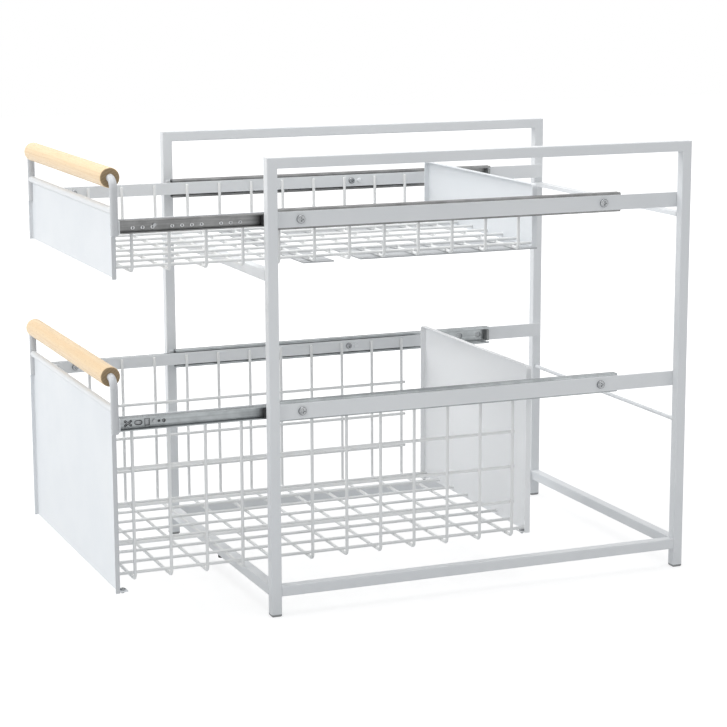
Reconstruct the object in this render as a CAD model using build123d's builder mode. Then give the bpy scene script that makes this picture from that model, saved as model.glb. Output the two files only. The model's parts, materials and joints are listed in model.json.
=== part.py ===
from build123d import *
import math
import os

# Two pull-out wire baskets in a free-standing frame of square tube.
# Millimetres, +Z up, the baskets pull out towards -Y, the floor is z = 0.
# The baskets stand part way out, as in the photograph.
# The origin is below the middle of the whole length, pulled baskets included.

# ---------- frame ----------
frame_width = 320.0
frame_depth = 430.0
frame_height = 420.0
tube = 10.0                  # square tube of posts, top rails and bars
tube_wall = 1.0
tube_corner = 1.0            # rounding along the tube's edges
rail_height = 14.0           # flat bar that carries a slide, on the posts' inner faces
rail_depth = 3.0
rail_end = 2.0               # from a rail's end to the frame's outer face
bottom_rail_z = 19.0         # under face of the lowest tubes
rear_strip_height = 4.0
rear_strip_z = 347.0         # under face of the strip across the back
rear_rod_d = 4.0
rear_rod_z = 147.0
foot_height = 2.5            # rounded pad below each post
foot_rounding = 1.8
foot_plug = 12.0             # how far a foot reaches up inside its post
plug_gap = 0.1
pad_d = 6.0                  # bumper under the middle of the front bar
pad_height = 4.0

# ---------- slides ----------
slide_length = 355.0         # the 14 inch size
slide_height = 18.5
slide_width = 10.0           # rail face to strap face
slide_sheet = 1.0
slide_travel = 250.0
cabinet_setback = 6.0        # slide's front end behind the frame's front
lip_gap = 0.7                # lip of the outer member to the drawer member
ball_d = 1.8
ball_gap = 0.35
ball_hole_gap = 0.2
balls_in_row = 6
cage_length = 76.0
cage_sheet = 0.8
cage_web_gap = 0.4
channel_depth = 7.5          # drawer member, strap face to flange tip
upper_slide_z = 363.3
lower_slide_z = 188.5
stop_front_gap = 1.0         # plastic stop behind the frame's front
stop_overlap = 8.0           # the stop's grip on the outer member
stop_height = 8.5
stop_gap = 0.6               # stop to the strap screws that pass it
bumper_length = 2.5
bumper_height = 12.0
bumper_gap = 0.8
cage_stop_gap = 1.0
rail_screw_front = 35.0      # behind the frame's front
rail_screw_rear = 341.0
rail_screw_d = 4.0
rail_head_d = 8.0
rail_head_height = 2.4
screw_hole_gap = 0.1
head_rounding = 0.6          # of a screw head's height
recess_length = 0.5          # cross recess, as shares of the head
recess_width = 0.14
recess_depth = 0.5
web_hole_d = 2.6             # small holes along the upper drawer members
web_hole_pitch = 9.0
web_hole_count = 12
web_hole_start = 14.0
web_hole_drop = 1.5
mount_hole_d = 6.0           # holes at the outer members' rear ends
mount_hole_pitch = 22.0
mount_hole_count = 2
mount_hole_end = 10.0
cross_cut_y = 9.5            # openings in the lower drawer members' webs,
cross_cut_length = 8.0       # counted from their front ends
cross_cut_width = 1.6
cross_cut_turn = 35.0
first_slot_y = 19.0
first_slot_length = 7.0
first_slot_width = 4.0
window_y = 27.0
window_width = 4.5
window_height = 6.0
second_slot_y = 49.0
second_slot_length = 5.5
second_slot_width = 3.5

# ---------- baskets ----------
upper_pull = 130.0           # how far each basket stands out of the frame
lower_pull = 134.0
closed_gap = 1.0             # strap ears to the frame when pushed home
basket_length = 419.0        # handle legs to rear panel
upper_floor_z = 323.0        # centre of the floor's cross wires
lower_floor_z = 44.0
sheet = 1.0                  # front and rear panels
weld_gap = 0.1
wire = 3.0
wire_sink = 0.4              # crossing wires are welded a little into each other
wire_bend = 4.0              # centre line radius where a side turns into the floor
wire_pitch = 34.2
first_wire = 19.2            # behind the handle legs
last_wire_room = 18.0        # least room behind the last wire
long_wire_pitch = 34.6
side_run_first = 33.0        # lowest lengthwise side wire above the floor
side_run_end = 3.0           # of a lengthwise side wire, behind the last upright wire
side_run_pitch = 34.5
side_run_head_room = 30.0    # no lengthwise side wire closer to the slide
wire_top_gap = 2.0           # wire ends below the strap's top edge
strap_sheet = 1.5
strap_height = 12.0
strap_lift = 0.5             # strap's middle above the slide's middle
ear_lift = 0.5
member_gap = 0.2             # drawer member behind the strap's ear
knob_d = 5.0
knob_height = 2.0
strap_screw_front = 39.0     # behind the handle legs
strap_screw_rear = 335.5
strap_knob = 344.0
strap_screw_d = 3.0
strap_head_d = 6.5
strap_head_height = 2.0
strap_screw_end = 1.6        # shank beyond the drawer member's web

# ---------- handles and panels ----------
handle_d = 7.0
handle_wall = 1.0
handle_bend = 10.0
cross_d = 6.5
cross_wall = 1.0
grip_d = 18.0
handle_inset = 1.5           # handle leg's middle inside the posts' inner face
grip_rounding = 1.0
grip_lift = 43.0             # grip axis above the slide's middle
cross_lift = 15.0
leg_drop = 6.5               # leg ends below the slide's middle
panel_rim = 4.5              # side rims of the front panel, sheet included
panel_lift = 11.5            # panel top above the slide's middle
upper_panel_drop = 4.0       # panel bottom below the floor wires' centre
lower_panel_drop = 7.0
rear_rim = 6.0
rear_lift = 18.5
rear_drop = 2.0
rear_inset = 7.0             # rear panel inside the side wires
rear_corner = 4.0
tab_width = 10.0
tab_depth = 8.0
tab_inset = 2.0
tab_screw_d = 3.0
tab_head_d = 5.5
tab_head_height = 1.5
tab_screw_length = 3.0
strip_sheet = 1.2            # flat strips below the upper basket's floor
cross_strip_width = 30.0
cross_strip_y = 196.0        # behind the handle legs
side_strip_width = 80.0
side_strip_start = 238.0
side_strip_inset = 3.0
bar_clearance = 0.8          # front bar below the strips that pass over it

# ---------- places that follow ----------
ear_back = handle_d / 2 + weld_gap + strap_sheet
closed_reach = closed_gap + ear_back + grip_d / 2
frame_y = (lower_pull + closed_reach) / 2
frame_front = frame_y - frame_depth / 2
frame_rear = frame_y + frame_depth / 2
closed_leg_y = frame_front - closed_gap - ear_back
post_x = frame_width / 2 - tube / 2
inner_x = frame_width / 2 - tube
leg_x = inner_x - handle_inset
grip_length = 2 * (leg_x - handle_bend)
slide_x = inner_x - rail_depth
strap_x = slide_x - slide_width
wire_x = strap_x - strap_sheet - wire / 2
rear_half = wire_x - wire / 2 - rear_inset
floor_half = wire_x - wire_bend
cabinet_front = frame_front + cabinet_setback
cabinet_rear = cabinet_front + slide_length
member_half = slide_height / 2 - slide_sheet - ball_d - 2 * ball_gap
ball_z = member_half + ball_gap + ball_d / 2
web_x = slide_x - slide_sheet
lip_x = strap_x + slide_sheet
channel_x = strap_x + channel_depth
ball_x = (lip_x + slide_sheet + channel_x) / 2
cage_web_x = channel_x + cage_web_gap
cage_arm_x = lip_x + slide_sheet + ball_gap
screw_end_x = strap_x + slide_sheet + strap_screw_end
stop_rear = cabinet_front + stop_overlap
crossing = wire - wire_sink

os.makedirs("parts", exist_ok=True)


def save(part, name):
    part.label = name
    export_step(part, f"parts/{name}.step")


def save_pair(part, before, after):
    save(part, f"{before}right_{after}")
    save(mirror(part, about=Plane.YZ), f"{before}left_{after}")


def facing_front(y):
    return Plane.XZ.offset(-y)


def hollow(width, height):
    RectangleRounded(width, height, tube_corner)
    Rectangle(width - 2 * tube_wall, height - 2 * tube_wall, mode=Mode.SUBTRACT)


def pan_screw(head_d, head_height, shank_d, shank_length):
    # head towards +X, its under face at x = 0, with a cross recess
    with BuildPart() as screw:
        with BuildSketch(Plane.YZ):
            Circle(head_d / 2)
        extrude(amount=head_height)
        rim = screw.edges().filter_by(GeomType.CIRCLE).sort_by(Axis.X)[-1]
        fillet(rim, head_height * head_rounding)
        with BuildSketch(Plane.YZ.offset(head_height)):
            Rectangle(head_d * recess_length, head_d * recess_width)
            Rectangle(head_d * recess_width, head_d * recess_length)
        extrude(amount=-head_height * recess_depth, mode=Mode.SUBTRACT)
        with BuildSketch(Plane.YZ):
            Circle(shank_d / 2)
        extrude(amount=-shank_length)
    return screw.part


def rail_screw_places(slide_z):
    return [(frame_front + rail_screw_front, slide_z), (frame_front + rail_screw_rear, slide_z)]


def strap_screw_places(slide_z, leg_y):
    screw_z = slide_z + strap_lift
    return [(leg_y + strap_screw_front, screw_z), (leg_y + strap_screw_rear, screw_z)]


def front_tab_places(leg_y):
    reach = inner_x - sheet - tab_inset - tab_width / 2
    return [(side * reach, leg_y + sheet + tab_depth / 2) for side in (-1, 1)]


def rear_tab_places(leg_y):
    reach = rear_half - sheet - tab_inset - tab_width / 2
    return [(side * reach, leg_y + basket_length - tab_depth / 2) for side in (-1, 1)]


# ---------- frame ----------
front_mitre = Plane(origin=(0, frame_front, frame_height), z_dir=(0, 1, 1))
rear_mitre = Plane(origin=(0, frame_rear, frame_height), z_dir=(0, -1, 1))
post_ends = (("front", frame_front + tube / 2, front_mitre), ("rear", frame_rear - tube / 2, rear_mitre))

for end, y, mitre in post_ends:
    with BuildPart() as post:
        with BuildSketch(Plane.XY.offset(foot_height)):
            with Locations((post_x, y)):
                hollow(tube, tube)
        extrude(amount=frame_height - foot_height)
        split(bisect_by=mitre, keep=Keep.BOTTOM)
    save_pair(post.part, "", f"{end}_post")

with BuildPart() as top_rail:
    with BuildSketch(facing_front(frame_rear)):
        with Locations((post_x, frame_height - tube / 2)):
            hollow(tube, tube)
    extrude(amount=frame_depth)
    split(bisect_by=front_mitre, keep=Keep.TOP)
    split(bisect_by=rear_mitre, keep=Keep.TOP)
save_pair(top_rail.part, "", "top_rail")

with BuildPart() as bottom_rail:
    with BuildSketch(facing_front(frame_rear - tube)):
        with Locations((post_x, bottom_rail_z + tube / 2)):
            hollow(tube, tube)
    extrude(amount=frame_depth - 2 * tube)
save_pair(bottom_rail.part, "", "bottom_rail")

front_bar_top = upper_floor_z - wire / 2 - weld_gap - strip_sheet - bar_clearance
cross_bars = (
    ("front_bottom_bar", frame_front + tube / 2, bottom_rail_z + tube / 2),
    ("rear_bottom_bar", frame_rear - tube / 2, bottom_rail_z + tube / 2),
    ("front_upper_bar", frame_front + tube / 2, front_bar_top - tube / 2),
)
for name, y, z in cross_bars:
    with BuildPart() as bar:
        with BuildSketch(Plane.YZ.offset(-inner_x)):
            with Locations((y, z)):
                hollow(tube, tube)
        extrude(amount=2 * inner_x)
    save(bar.part, name)

with BuildPart() as rear_strip:
    with BuildSketch(Plane.YZ.offset(-inner_x)):
        with Locations((frame_rear - tube / 2, rear_strip_z + rear_strip_height / 2)):
            Rectangle(tube, rear_strip_height)
    extrude(amount=2 * inner_x)
save(rear_strip.part, "rear_upper_strip")

with BuildPart() as rear_rod:
    with BuildSketch(Plane.YZ.offset(-inner_x)):
        with Locations((frame_rear - tube / 2, rear_rod_z)):
            Circle(rear_rod_d / 2)
    extrude(amount=2 * inner_x)
save(rear_rod.part, "rear_lower_rod")

for end, y, mitre in post_ends:
    with BuildPart() as foot:
        with BuildSketch():
            with Locations((post_x, y)):
                RectangleRounded(tube, tube, tube_corner)
        extrude(amount=foot_height)
        fillet(foot.faces().sort_by(Axis.Z)[0].edges(), foot_rounding)
        with BuildSketch(Plane.XY.offset(foot_height)):
            with Locations((post_x, y)):
                plug_width = tube - 2 * tube_wall - 2 * plug_gap
                Rectangle(plug_width, plug_width)
        extrude(amount=foot_plug)
    save_pair(foot.part, "", f"{end}_foot")

with BuildPart() as bar_pad:
    with BuildSketch(Plane.XY.offset(bottom_rail_z)):
        with Locations((0, frame_front + tube / 2)):
            Circle(pad_d / 2)
    extrude(amount=-pad_height)
save(bar_pad.part, "front_bar_pad")


# ---------- what each slide and basket adds ----------
def make_rail(tier, slide_z):
    with BuildPart() as rail:
        with BuildSketch(facing_front(frame_rear - rail_end)):
            with Locations((inner_x - rail_depth / 2, slide_z)):
                Rectangle(rail_depth, rail_height)
        extrude(amount=frame_depth - 2 * rail_end)
        with BuildSketch(Plane.YZ.offset(inner_x)):
            with Locations(*rail_screw_places(slide_z)):
                Circle(rail_screw_d / 2 + screw_hole_gap)
        extrude(amount=-rail_depth, mode=Mode.SUBTRACT)
    save_pair(rail.part, "", f"{tier}_rail")


def make_cabinet_member(tier, slide_z):
    middle_x = (lip_x + slide_x) / 2
    room_x = (lip_x + slide_sheet + web_x) / 2
    with BuildPart() as member:
        with BuildSketch(facing_front(cabinet_rear)):
            with Locations((middle_x, slide_z)):
                RectangleRounded(slide_x - lip_x, slide_height, slide_sheet)
            with Locations((room_x, slide_z)):
                Rectangle(web_x - lip_x - slide_sheet, slide_height - 2 * slide_sheet, mode=Mode.SUBTRACT)
            with Locations((lip_x + slide_sheet / 2, slide_z)):
                Rectangle(slide_sheet, 2 * (member_half + lip_gap), mode=Mode.SUBTRACT)
        extrude(amount=slide_length)
        with BuildSketch(Plane.YZ.offset(slide_x)):
            with Locations(*rail_screw_places(slide_z)):
                Circle(rail_screw_d / 2 + screw_hole_gap)
            for hole in range(mount_hole_count):
                with Locations((cabinet_rear - mount_hole_end - hole * mount_hole_pitch, slide_z)):
                    Circle(mount_hole_d / 2)
        extrude(amount=-2 * slide_sheet, mode=Mode.SUBTRACT)
    save_pair(member.part, f"{tier}_", "cabinet_member")


def make_drawer_member(tier, slide_z, leg_y):
    front = leg_y + ear_back + member_gap
    with BuildPart() as member:
        with BuildSketch(facing_front(front + slide_length)):
            with Locations(((strap_x + channel_x) / 2, slide_z)):
                Rectangle(channel_x - strap_x, 2 * member_half)
            with Locations(((strap_x + slide_sheet + channel_x) / 2, slide_z)):
                room_width = channel_x - strap_x - slide_sheet
                Rectangle(room_width, 2 * (member_half - slide_sheet), mode=Mode.SUBTRACT)
        extrude(amount=slide_length)
        with BuildSketch(Plane.YZ.offset(strap_x)):
            with Locations(*strap_screw_places(slide_z, leg_y)):
                Circle(strap_screw_d / 2 + screw_hole_gap)
            if tier == "upper":
                for hole in range(web_hole_count):
                    hole_y = front + web_hole_start + hole * web_hole_pitch
                    with Locations((hole_y, slide_z - web_hole_drop)):
                        Circle(web_hole_d / 2)
            else:
                with Locations((front + cross_cut_y, slide_z)):
                    Rectangle(cross_cut_length, cross_cut_width, rotation=cross_cut_turn)
                    Rectangle(cross_cut_length, cross_cut_width, rotation=-cross_cut_turn)
                with Locations((front + first_slot_y, slide_z)):
                    SlotOverall(first_slot_length, first_slot_width)
                with Locations((front + window_y, slide_z)):
                    Rectangle(window_width, window_height)
                with Locations((front + second_slot_y, slide_z)):
                    SlotOverall(second_slot_length, second_slot_width)
        extrude(amount=slide_sheet, mode=Mode.SUBTRACT)
    save_pair(member.part, f"{tier}_", "drawer_member")


def make_cages(tier, slide_z, pull):
    cage_y = stop_rear + cage_stop_gap + cage_length / 2 + (slide_travel - pull) / 2
    ball_pitch = cage_length / balls_in_row
    rows = [cage_y + (ball - (balls_in_row - 1) / 2) * ball_pitch for ball in range(balls_in_row)]
    arm_z = ball_z + cage_sheet / 2
    with BuildPart() as cage:
        with BuildSketch(facing_front(cage_y + cage_length / 2)):
            with Locations(((cage_arm_x + cage_web_x + cage_sheet) / 2, slide_z)):
                Rectangle(cage_web_x + cage_sheet - cage_arm_x, 2 * arm_z)
            with Locations(((cage_arm_x + cage_web_x) / 2, slide_z)):
                Rectangle(cage_web_x - cage_arm_x, 2 * (arm_z - cage_sheet), mode=Mode.SUBTRACT)
        extrude(amount=cage_length)
        with BuildSketch(Plane.XY.offset(slide_z - arm_z)):
            with Locations(*[(ball_x, y) for y in rows]):
                Circle(ball_d / 2 + ball_hole_gap)
        extrude(amount=2 * arm_z, mode=Mode.SUBTRACT)
    with BuildPart() as cages:
        add(cage.part)
        mirror(about=Plane.YZ)
    save(cages.part, f"{tier}_ball_cages")
    with BuildPart() as balls:
        places = [(ball_x, y, slide_z + up * ball_z) for y in rows for up in (-1, 1)]
        with Locations(*places):
            Sphere(ball_d / 2)
        mirror(about=Plane.YZ)
    save(balls.part, f"{tier}_slide_balls")


def make_strap(tier, slide_z, leg_y):
    ear_y = leg_y + handle_d / 2 + weld_gap
    rear_y = leg_y + basket_length + sheet
    with BuildPart() as strap:
        with BuildSketch(Plane.YZ.offset(strap_x)):
            with Locations(((ear_y + rear_y) / 2, slide_z + strap_lift)):
                Rectangle(rear_y - ear_y, strap_height)
        extrude(amount=-strap_sheet)
        with BuildSketch(Plane.YZ.offset(leg_x)):
            with Locations((ear_y + strap_sheet / 2, slide_z + ear_lift)):
                Rectangle(strap_sheet, strap_height)
        extrude(amount=-(leg_x - strap_x + strap_sheet))
        with BuildSketch(Plane.YZ.offset(strap_x)):
            with Locations(*strap_screw_places(slide_z, leg_y)):
                Circle(strap_screw_d / 2 + screw_hole_gap)
        extrude(amount=-strap_sheet, mode=Mode.SUBTRACT)
        with BuildSketch(Plane.YZ.offset(strap_x - strap_sheet)):
            with Locations((leg_y + strap_knob, slide_z + strap_lift)):
                Circle(knob_d / 2)
        extrude(amount=-knob_height)
    save_pair(strap.part, f"{tier}_", "strap")


def make_handle(tier, slide_z, leg_y):
    grip_z = slide_z + grip_lift
    leg_z = slide_z - leg_drop
    with BuildPart() as handle:
        with BuildLine(facing_front(leg_y)):
            FilletPolyline(
                (leg_x, leg_z), (leg_x, grip_z), (-leg_x, grip_z), (-leg_x, leg_z), radius=handle_bend
            )
        with BuildSketch(Plane.XY.offset(leg_z)):
            with Locations((leg_x, leg_y)):
                Circle(handle_d / 2)
                Circle(handle_d / 2 - handle_wall, mode=Mode.SUBTRACT)
        sweep()
    save(handle.part, f"{tier}_handle_tube")
    with BuildPart() as grip:
        with BuildSketch(Plane.YZ.offset(-grip_length / 2)):
            with Locations((leg_y, grip_z)):
                Circle(grip_d / 2)
        extrude(amount=grip_length)
        fillet(grip.edges().filter_by(GeomType.CIRCLE), grip_rounding)
        with BuildSketch(Plane.YZ.offset(-grip_length / 2)):
            with Locations((leg_y, grip_z)):
                Circle(handle_d / 2 + weld_gap)
        extrude(amount=grip_length, mode=Mode.SUBTRACT)
    save(grip.part, f"{tier}_grip")
    with BuildPart() as cross:
        with BuildSketch(Plane.YZ.offset(-leg_x)):
            with Locations((leg_y, slide_z + cross_lift)):
                Circle(cross_d / 2)
                Circle(cross_d / 2 - cross_wall, mode=Mode.SUBTRACT)
        extrude(amount=2 * leg_x)
        with Locations(*[(side * leg_x, leg_y, slide_z + cross_lift) for side in (-1, 1)]):
            Cylinder(handle_d / 2 + weld_gap, 2 * cross_d, mode=Mode.SUBTRACT)
    save(cross.part, f"{tier}_cross_tube")


def make_front_panel(tier, slide_z, floor_z, drop, leg_y):
    bottom = floor_z - drop
    shoulder = slide_z - leg_drop - weld_gap
    top = slide_z + panel_lift
    half = inner_x
    between = leg_x - handle_d / 2 - weld_gap
    with BuildPart() as panel:
        with BuildSketch(facing_front(leg_y + sheet)):
            with BuildLine():
                Polyline(
                    (-half, bottom), (half, bottom), (half, shoulder), (between, shoulder),
                    (between, top), (-between, top), (-between, shoulder), (-half, shoulder), close=True,
                )
            make_face()
        extrude(amount=sheet)
        with BuildSketch(facing_front(leg_y + sheet)):
            with Locations(*[(side * (half - sheet / 2), (bottom + shoulder) / 2) for side in (-1, 1)]):
                Rectangle(sheet, shoulder - bottom)
        extrude(amount=panel_rim)
        if tier == "lower":
            with BuildSketch(Plane.XY.offset(bottom)):
                with Locations(*front_tab_places(leg_y)):
                    Rectangle(tab_width, tab_depth)
                    Circle(tab_screw_d / 2 + screw_hole_gap, mode=Mode.SUBTRACT)
            extrude(amount=sheet)
    save(panel.part, f"{tier}_front_panel")


def make_rear_panel(tier, slide_z, floor_z, leg_y):
    bottom = floor_z - rear_drop
    top = slide_z + rear_lift
    half = rear_half
    rear_y = leg_y + basket_length + sheet
    with BuildPart() as panel:
        with BuildSketch(facing_front(rear_y)):
            with Locations((0, (bottom + top) / 2)):
                Rectangle(2 * half, top - bottom)
            fillet(vertices().group_by(Axis.Y)[-1], rear_corner)
        extrude(amount=rear_rim)
        with BuildSketch(facing_front(rear_y - sheet)):
            with Locations((0, (bottom + top) / 2 - sheet)):
                Rectangle(2 * (half - sheet), top - bottom)
            fillet(vertices().group_by(Axis.Y)[-1], rear_corner - sheet)
        extrude(amount=rear_rim - sheet, mode=Mode.SUBTRACT)
        if tier == "lower":
            with BuildSketch(Plane.XY.offset(bottom)):
                with Locations(*rear_tab_places(leg_y)):
                    Rectangle(tab_width, tab_depth)
                    Circle(tab_screw_d / 2 + screw_hole_gap, mode=Mode.SUBTRACT)
            extrude(amount=sheet)
    save(panel.part, f"{tier}_rear_panel")


def make_wires(tier, slide_z, floor_z, leg_y):
    row_count = math.floor((basket_length - first_wire - last_wire_room) / wire_pitch) + 1
    rows = [leg_y + first_wire + row * wire_pitch for row in range(row_count)]
    bend_z = floor_z + wire_bend
    top = slide_z + strap_lift + strap_height / 2 - wire_top_gap
    run_length = basket_length - sheet
    room = slide_z - side_run_head_room - floor_z - side_run_first
    run_count = math.floor(room / side_run_pitch) + 1
    with BuildPart() as side_wires:
        with BuildSketch(Plane.XY.offset(bend_z)):
            with Locations(*[(wire_x, y) for y in rows]):
                Circle(wire / 2)
        extrude(amount=top - bend_z)
        with BuildSketch(Plane.XY.offset(bend_z)):
            with Locations(*[(wire_x, y) for y in rows]):
                Circle(wire / 2)
        revolve(axis=Axis((floor_half, 0, bend_z), (0, 1, 0)), revolution_arc=90)
        if run_count > 0:
            with BuildSketch(facing_front(rows[-1] + side_run_end)):
                runs = [floor_z + side_run_first + run * side_run_pitch for run in range(run_count)]
                with Locations(*[(wire_x - crossing, z) for z in runs]):
                    Circle(wire / 2)
            extrude(amount=rows[-1] + side_run_end - leg_y - sheet)
    save_pair(side_wires.part, f"{tier}_", "side_wires")
    with BuildPart() as floor_wires:
        with BuildSketch(Plane.YZ.offset(-floor_half)):
            with Locations(*[(y, floor_z) for y in rows]):
                Circle(wire / 2)
        extrude(amount=2 * floor_half)
        with BuildSketch(facing_front(leg_y + basket_length)):
            lane_count = math.floor((2 * floor_half - wire) / long_wire_pitch) + 1
            lanes = [(lane - (lane_count - 1) / 2) * long_wire_pitch for lane in range(lane_count)]
            with Locations(*[(x, floor_z + crossing) for x in lanes]):
                Circle(wire / 2)
        extrude(amount=run_length)
    save(floor_wires.part, f"{tier}_floor_wires")


def make_floor_strips(tier, floor_z, leg_y):
    top = floor_z - wire / 2 - weld_gap
    start = leg_y + side_strip_start
    length = basket_length - side_strip_start
    with BuildPart() as strips:
        with BuildSketch(Plane.XY.offset(top)):
            with Locations((0, leg_y + cross_strip_y)):
                Rectangle(2 * floor_half, cross_strip_width)
            middle_x = floor_half - side_strip_inset - side_strip_width / 2
            with Locations(*[(side * middle_x, start + length / 2) for side in (-1, 1)]):
                Rectangle(side_strip_width, length)
        extrude(amount=-strip_sheet)
    save(strips.part, f"{tier}_floor_strips")


# ---------- fasteners ----------
def make_basket_screws(tier, slide_z, floor_z, drop, leg_y):
    strap_length = strap_sheet + slide_sheet + strap_screw_end
    strap_screw = pan_screw(strap_head_d, strap_head_height, strap_screw_d, strap_length)
    tab_screw = pan_screw(tab_head_d, tab_head_height, tab_screw_d, tab_screw_length)
    face_x = strap_x - strap_sheet
    front_tabs = [(x, y, floor_z - drop + sheet) for x, y in front_tab_places(leg_y)]
    rear_tabs = [(x, y, floor_z - rear_drop + sheet) for x, y in rear_tab_places(leg_y)]
    with BuildPart() as screws:
        for y, z in strap_screw_places(slide_z, leg_y):
            with Locations(Location((face_x, y, z), (0, 0, 180)), Location((-face_x, y, z))):
                add(strap_screw)
        if tier == "lower":
            for place in front_tabs + rear_tabs:
                with Locations(Location(place, (0, -90, 0))):
                    add(tab_screw)
    save(screws.part, f"{tier}_basket_screws")


tiers = (
    ("upper", upper_slide_z, upper_floor_z, upper_panel_drop, upper_pull),
    ("lower", lower_slide_z, lower_floor_z, lower_panel_drop, lower_pull),
)

for tier, slide_z, floor_z, drop, pull in tiers:
    leg_y = closed_leg_y - pull
    make_rail(tier, slide_z)
    make_cabinet_member(tier, slide_z)
    make_drawer_member(tier, slide_z, leg_y)
    make_cages(tier, slide_z, pull)
    make_strap(tier, slide_z, leg_y)
    make_handle(tier, slide_z, leg_y)
    make_front_panel(tier, slide_z, floor_z, drop, leg_y)
    make_rear_panel(tier, slide_z, floor_z, leg_y)
    make_wires(tier, slide_z, floor_z, leg_y)
    make_basket_screws(tier, slide_z, floor_z, drop, leg_y)

make_floor_strips("upper", upper_floor_z, closed_leg_y - upper_pull)

rail_screw = pan_screw(rail_head_d, rail_head_height, rail_screw_d, rail_depth + slide_sheet - screw_hole_gap)
with BuildPart() as rail_screws:
    for slide_z in (upper_slide_z, lower_slide_z):
        for y, z in rail_screw_places(slide_z):
            with Locations(Location((inner_x, y, z)), Location((-inner_x, y, z), (0, 0, 180))):
                add(rail_screw)
save(rail_screws.part, "rail_screws")

stop_x = screw_end_x + stop_gap
with BuildPart() as front_stops:
    for slide_z in (upper_slide_z, lower_slide_z):
        with BuildSketch(Plane.YZ.offset(web_x)):
            with Locations(((frame_front + stop_front_gap + stop_rear) / 2, slide_z)):
                Rectangle(stop_rear - frame_front - stop_front_gap, stop_height)
        extrude(amount=-(web_x - stop_x))
    mirror(about=Plane.YZ)
save(front_stops.part, "slide_front_stops")

with BuildPart() as rear_bumpers:
    for slide_z in (upper_slide_z, lower_slide_z):
        with BuildSketch(Plane.YZ.offset(web_x)):
            with Locations((cabinet_rear - bumper_length / 2, slide_z)):
                Rectangle(bumper_length, bumper_height)
        extrude(amount=-(web_x - lip_x - bumper_gap))
    mirror(about=Plane.YZ)
save(rear_bumpers.part, "slide_rear_bumpers")
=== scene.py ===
import bpy
import json
import math
import numpy as np
from mathutils import Matrix, Vector
from mathutils.geometry import delaunay_2d_cdt


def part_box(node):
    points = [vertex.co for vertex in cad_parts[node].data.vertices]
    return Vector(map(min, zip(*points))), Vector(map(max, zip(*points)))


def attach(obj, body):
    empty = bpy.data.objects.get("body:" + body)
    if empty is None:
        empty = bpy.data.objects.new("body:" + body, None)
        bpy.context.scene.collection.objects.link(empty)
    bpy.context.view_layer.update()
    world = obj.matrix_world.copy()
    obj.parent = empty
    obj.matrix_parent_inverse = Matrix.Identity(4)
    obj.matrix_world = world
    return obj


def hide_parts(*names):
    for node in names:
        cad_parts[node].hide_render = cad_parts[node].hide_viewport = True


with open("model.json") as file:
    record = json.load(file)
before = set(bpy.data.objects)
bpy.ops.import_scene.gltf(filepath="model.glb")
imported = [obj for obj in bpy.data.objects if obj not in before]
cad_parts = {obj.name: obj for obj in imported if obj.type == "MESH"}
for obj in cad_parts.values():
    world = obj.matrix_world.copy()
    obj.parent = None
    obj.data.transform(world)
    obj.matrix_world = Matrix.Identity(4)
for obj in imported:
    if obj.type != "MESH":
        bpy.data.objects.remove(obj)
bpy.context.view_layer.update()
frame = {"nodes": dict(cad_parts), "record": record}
mm = 0.001
sides = (("right", 1), ("left", -1))
handleRadius, wireRadius, legBelowSlide = 3.5 * mm, 1.5 * mm, 6.5 * mm

# places of each basket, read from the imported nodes
tiers = {}
for tier in ("upper", "lower"):
    low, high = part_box(f"{tier}_handle_tube")
    panelLow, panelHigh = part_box(f"{tier}_front_panel")
    rearLow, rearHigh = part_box(f"{tier}_rear_panel")
    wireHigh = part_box(f"{tier}_right_side_wires")[1]
    tiers[tier] = {
        "body": f"{tier}_basket",
        "legX": high[0] - handleRadius,
        "legY": (low[1] + high[1]) / 2,
        "legBottom": low[2],
        "slideZ": low[2] + legBelowSlide,
        "gripZ": high[2] - handleRadius,
        "floorZ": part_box(f"{tier}_floor_wires")[0][2] + wireRadius,
        "panelBottom": panelLow[2],
        "panelTop": panelHigh[2],
        "rearY": rearHigh[1],
        "rearBottom": rearLow[2],
        "rearTop": rearHigh[2],
        "rearHalf": rearHigh[0],
        "wireX": wireHigh[0] - wireRadius,
        "wireTop": wireHigh[2],
    }
print("frame loaded:", len(frame["nodes"]), "nodes")


# shader groups: effects that several finishes share
def startGroup(name, inputs, outputs):
    group = bpy.data.node_groups.new(name, "ShaderNodeTree")
    for label, kind, value in inputs:
        socket = group.interface.new_socket(name=label, in_out="INPUT", socket_type=kind)
        if value is not None:
            socket.default_value = value
    for label, kind in outputs:
        group.interface.new_socket(name=label, in_out="OUTPUT", socket_type=kind)
    return group, group.nodes.new("NodeGroupInput"), group.nodes.new("NodeGroupOutput")


def feed(tree, value, socket):
    # a number or a colour is set on the socket, and anything else is linked to it
    if isinstance(value, tuple):
        socket.default_value = (*value, 1.0)
    elif isinstance(value, (int, float)):
        socket.default_value = value
    else:
        tree.links.new(value, socket)


def addNoise(tree, vector, scale, detail=2.0, rough=0.5):
    noise = tree.nodes.new("ShaderNodeTexNoise")
    tree.links.new(vector, noise.inputs["Vector"])
    for label, value in (("Scale", scale), ("Detail", detail), ("Roughness", rough)):
        feed(tree, value, noise.inputs[label])
    return noise.outputs["Fac"]


def addMath(tree, operation, first, second=0.5):
    node = tree.nodes.new("ShaderNodeMath")
    node.operation = operation
    for socket, value in zip(node.inputs, (first, second)):
        feed(tree, value, socket)
    return node.outputs[0]


def addMix(tree, factor, first, second):
    # sockets 0, 6 and 7 are the factor and the two colours
    node = tree.nodes.new("ShaderNodeMix")
    node.data_type = "RGBA"
    for place, value in ((0, factor), (6, first), (7, second)):
        feed(tree, value, node.inputs[place])
    return node.outputs[2]


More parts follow.
